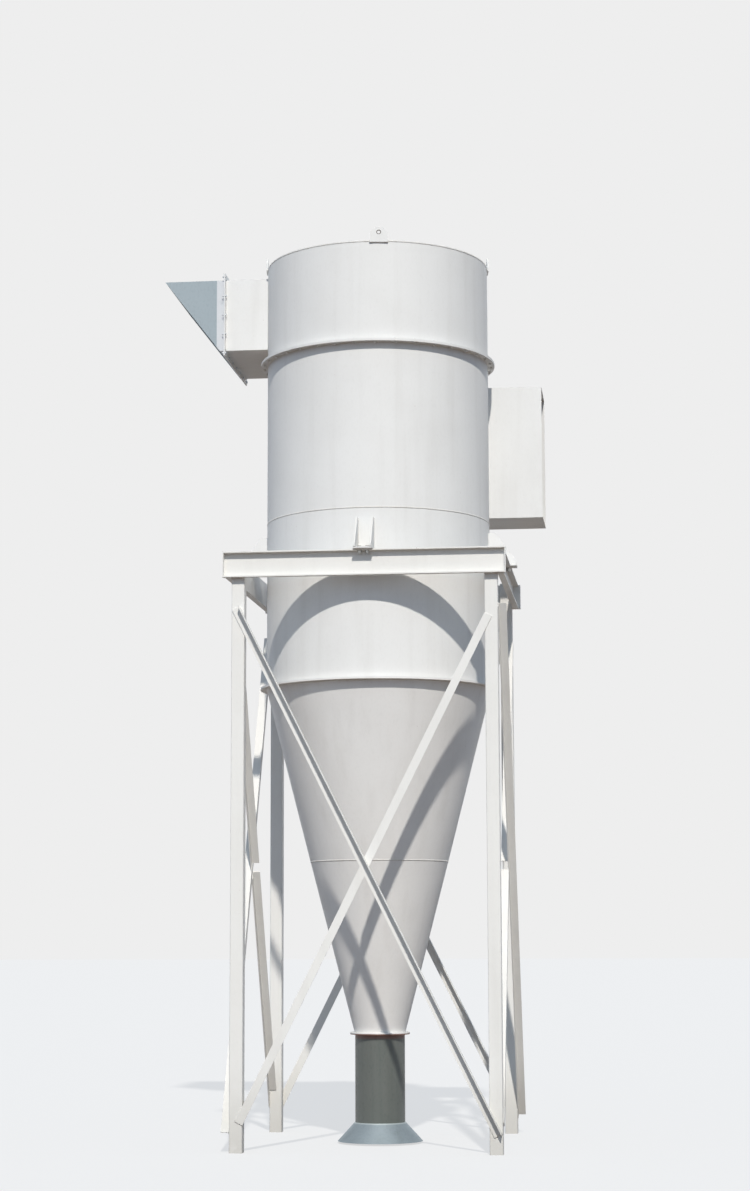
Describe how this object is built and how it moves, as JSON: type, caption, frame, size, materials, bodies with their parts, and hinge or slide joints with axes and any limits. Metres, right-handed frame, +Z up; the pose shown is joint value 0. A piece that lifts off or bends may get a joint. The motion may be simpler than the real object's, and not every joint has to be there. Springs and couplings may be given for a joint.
{
  "type": "cyclone separator",
  "caption": "Tall cyclone dust separator: a flanged drum, barrel and cone on a square braced steel stand, with side inlet, hooded outlet and a discharge pipe below.",
  "frame": {"origin": "on the vessel's axis, at the level floor that the legs stand on", "axes": "+Z up along the vessel's axis; +X to the inlet duct's mouth, -X to the outlet; -Y is the stand's front side"},
  "size_m": [3.073, 2.24, 7.13],
  "materials": {
    "vessel_paint": "satin off-white paint, weathered",
    "stand_paint": "satin cream-white paint, weathered",
    "galvanised_sheet": "dull galvanised sheet",
    "grey_paint": "dull dark grey paint",
    "skirt_metal": "dull blue-grey paint"
  },
  "bodies": {
    "root": {"drum_shell": "vessel_paint", "drum_roof": "vessel_paint", "drum_flange": "vessel_paint", "barrel_flange": "vessel_paint", "barrel_roof": "vessel_paint", "vortex_finder": "vessel_paint", "barrel_upper": "vessel_paint", "barrel_lower": "vessel_paint", "barrel_base_ring": "vessel_paint", "cone_top_ring": "vessel_paint", "cone_upper": "vessel_paint", "cone_lower": "vessel_paint", "cone_flange": "vessel_paint", "outlet_duct": "vessel_paint", "outlet_flange": "vessel_paint", "inlet_duct": "vessel_paint", "lifting_lug_front": "vessel_paint", "lifting_lug_right": "vessel_paint", "lifting_lug_back": "vessel_paint", "lifting_lug_left": "vessel_paint", "bracket_front": "vessel_paint", "bracket_right": "vessel_paint", "bracket_back": "vessel_paint", "bracket_left": "vessel_paint", "beam_front": "stand_paint", "beam_right": "stand_paint", "beam_back": "stand_paint", "beam_left": "stand_paint", "leg_front_left": "stand_paint", "leg_front_right": "stand_paint", "leg_back_right": "stand_paint", "leg_back_left": "stand_paint", "brace_whole_front": "stand_paint", "brace_whole_right": "stand_paint", "brace_whole_back": "stand_paint", "brace_whole_left": "stand_paint", "brace_split_front": "stand_paint", "brace_split_right": "stand_paint", "brace_split_back": "stand_paint", "brace_split_left": "stand_paint", "outlet_hood": "galvanised_sheet", "pipe_flange": "grey_paint", "discharge_pipe": "grey_paint", "discharge_skirt": "skirt_metal"}
  },
  "joints": []
}
